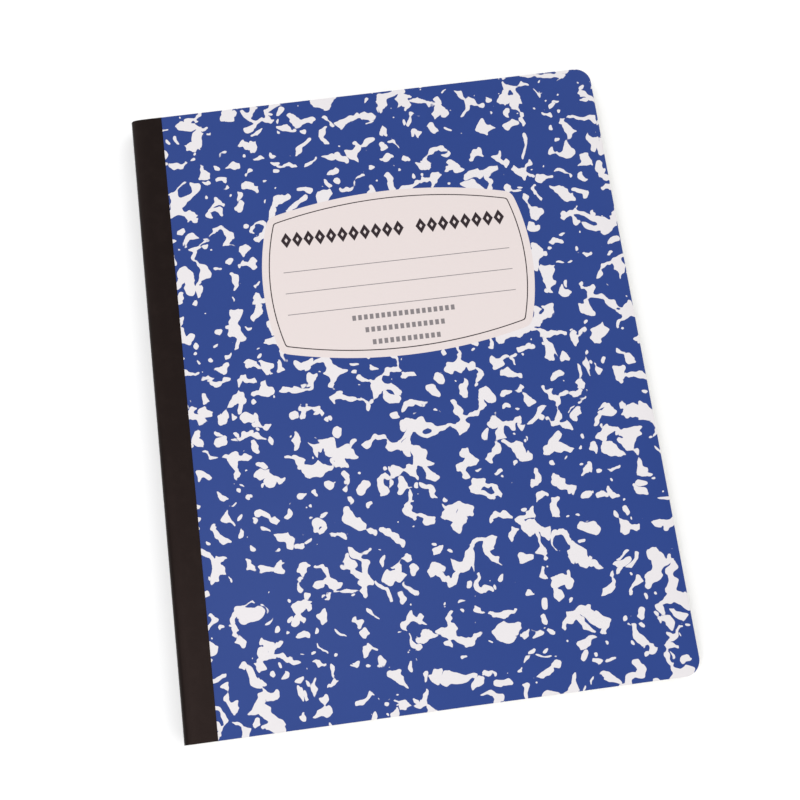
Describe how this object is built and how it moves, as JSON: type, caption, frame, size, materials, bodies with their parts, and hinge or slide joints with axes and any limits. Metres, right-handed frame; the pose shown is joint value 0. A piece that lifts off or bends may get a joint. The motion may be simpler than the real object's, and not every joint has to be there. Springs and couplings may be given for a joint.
{
  "type": "composition notebook",
  "caption": "Sewn composition notebook with marbled board covers, a blank ruled label area and a black tape spine.",
  "frame": {"origin": "centre of the bounding box's bottom, on the outer face of the back cover", "axes": "+X from the spine to the fore edge, +Y from the tail to the head, +Z from the back cover to the front cover"},
  "size_m": [0.1906, 0.2476, 0.01],
  "materials": {
    "cover_board": "satin coated print",
    "binding_tape": "matte coated cloth",
    "pages": "matte uncoated",
    "thread": "twisted thread"
  },
  "bodies": {
    "book_block": {"page_block": "pages", "spine_tape": "binding_tape", "needle_thread": "thread", "bobbin_thread": "thread"},
    "front_board": {"front_cover": "cover_board"},
    "back_board": {"back_cover": "cover_board"}
  },
  "joints": [
    {"name": "front_cover_hinge", "type": "hinge", "parent": "book_block", "child": "front_board", "pos_m": [-0.09265, 0, 0.01], "axis": [0, -1, 0], "range_deg": [0, 180], "deforming": ["spine_tape"]},
    {"name": "back_cover_hinge", "type": "hinge", "parent": "book_block", "child": "back_board", "pos_m": [-0.09265, 0, 0], "axis": [0, 1, 0], "range_deg": [0, 180], "deforming": ["spine_tape"]}
  ]
}
